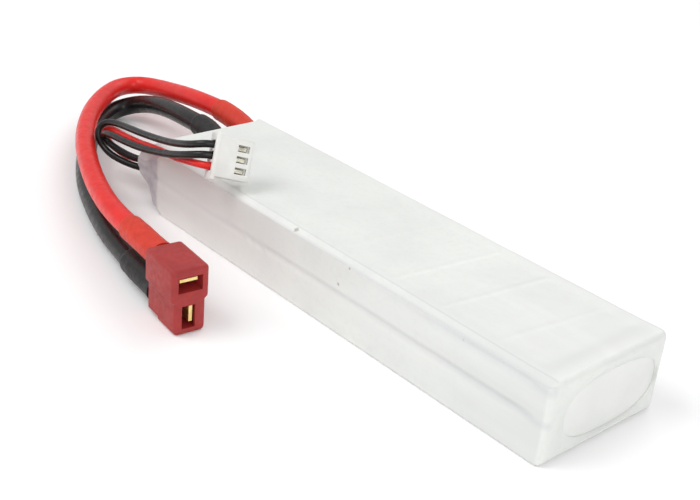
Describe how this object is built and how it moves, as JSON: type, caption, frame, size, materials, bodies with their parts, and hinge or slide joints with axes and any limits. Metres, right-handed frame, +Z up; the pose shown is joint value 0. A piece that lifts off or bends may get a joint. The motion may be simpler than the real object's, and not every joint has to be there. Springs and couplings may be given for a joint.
{
  "type": "lipo battery pack",
  "caption": "Flat white soft-cased battery pack with thick red and black leads to a two-slot T plug and thin balance leads to a small white connector.",
  "frame": {"origin": "centre of the film-wrapped pack's underside, on the surface it lies on", "axes": "+X along the pack towards its blank front end, -X towards the leads, +Y away from the plug's side, +Z up"},
  "size_m": [0.1876, 0.067, 0.0309],
  "materials": {
    "shrink_film": "smooth heat-shrunk film, satin",
    "white_board": "stiff white sheet",
    "pouch_foil": "laminated pouch foil",
    "nickel": "plain nickel-plated strip",
    "aluminium": "plain strip",
    "bonding_tape": "double-sided tape",
    "board_laminate": "glass-epoxy laminate with solder resist",
    "solder": "tin solder",
    "insulation_paper": "insulating paper",
    "red_silicone": "satin silicone insulation",
    "black_silicone": "satin silicone insulation",
    "red_shrink_sleeve": "shrunk polyolefin",
    "black_shrink_sleeve": "shrunk polyolefin",
    "plug_nylon": "moulded glass-filled nylon",
    "gold_plated_brass": "gold flash plating",
    "tinned_bronze": "tin plating, dull",
    "spring_steel": "bare spring strip",
    "white_nylon": "moulded nylon"
  },
  "bodies": {
    "pack": {"film_wrap": "shrink_film", "front_end_board": "white_board", "cell_upper": "pouch_foil", "cell_lower": "pouch_foil", "cell_bonding_tape": "bonding_tape", "tab_positive_upper": "aluminium", "tab_negative_upper": "nickel", "tab_positive_lower": "aluminium", "tab_negative_lower": "nickel", "series_link": "nickel", "insulation_strip_top": "insulation_paper", "insulation_strip_bottom": "insulation_paper", "junction_board": "board_laminate", "solder_positive_lead": "solder", "solder_negative_lead": "solder", "solder_balance_negative": "solder", "solder_balance_middle": "solder", "solder_balance_positive": "solder", "main_lead_red": "red_silicone", "main_lead_black": "black_silicone", "sleeve_red_pack": "red_shrink_sleeve", "sleeve_red_plug": "red_shrink_sleeve", "sleeve_black_pack": "black_shrink_sleeve", "sleeve_black_plug": "black_shrink_sleeve", "balance_wire_negative": "black_silicone", "balance_wire_middle": "black_silicone", "balance_wire_positive": "red_silicone", "plug_body": "plug_nylon", "spring_positive": "spring_steel", "spring_negative": "spring_steel", "solder_tab_positive": "gold_plated_brass", "solder_tab_negative": "gold_plated_brass", "solder_positive_plug": "solder", "solder_negative_plug": "solder", "balance_housing": "white_nylon", "balance_terminal_positive": "tinned_bronze", "balance_terminal_middle": "tinned_bronze", "balance_terminal_negative": "tinned_bronze"},
    "positive_contact": {"contact_positive": "gold_plated_brass"},
    "negative_contact": {"contact_negative": "gold_plated_brass"}
  },
  "joints": [
    {"name": "positive_contact_spring", "type": "slide", "parent": "pack", "child": "positive_contact", "axis": [0, 0, 1], "range_m": [0, 0.0003], "stiffness_N_per_m": 2000, "deforming": ["spring_positive"]},
    {"name": "negative_contact_spring", "type": "slide", "parent": "pack", "child": "negative_contact", "axis": [0.1045, 0.9945, 0], "range_m": [0, 0.0003], "stiffness_N_per_m": 2000, "deforming": ["spring_negative"]}
  ]
}
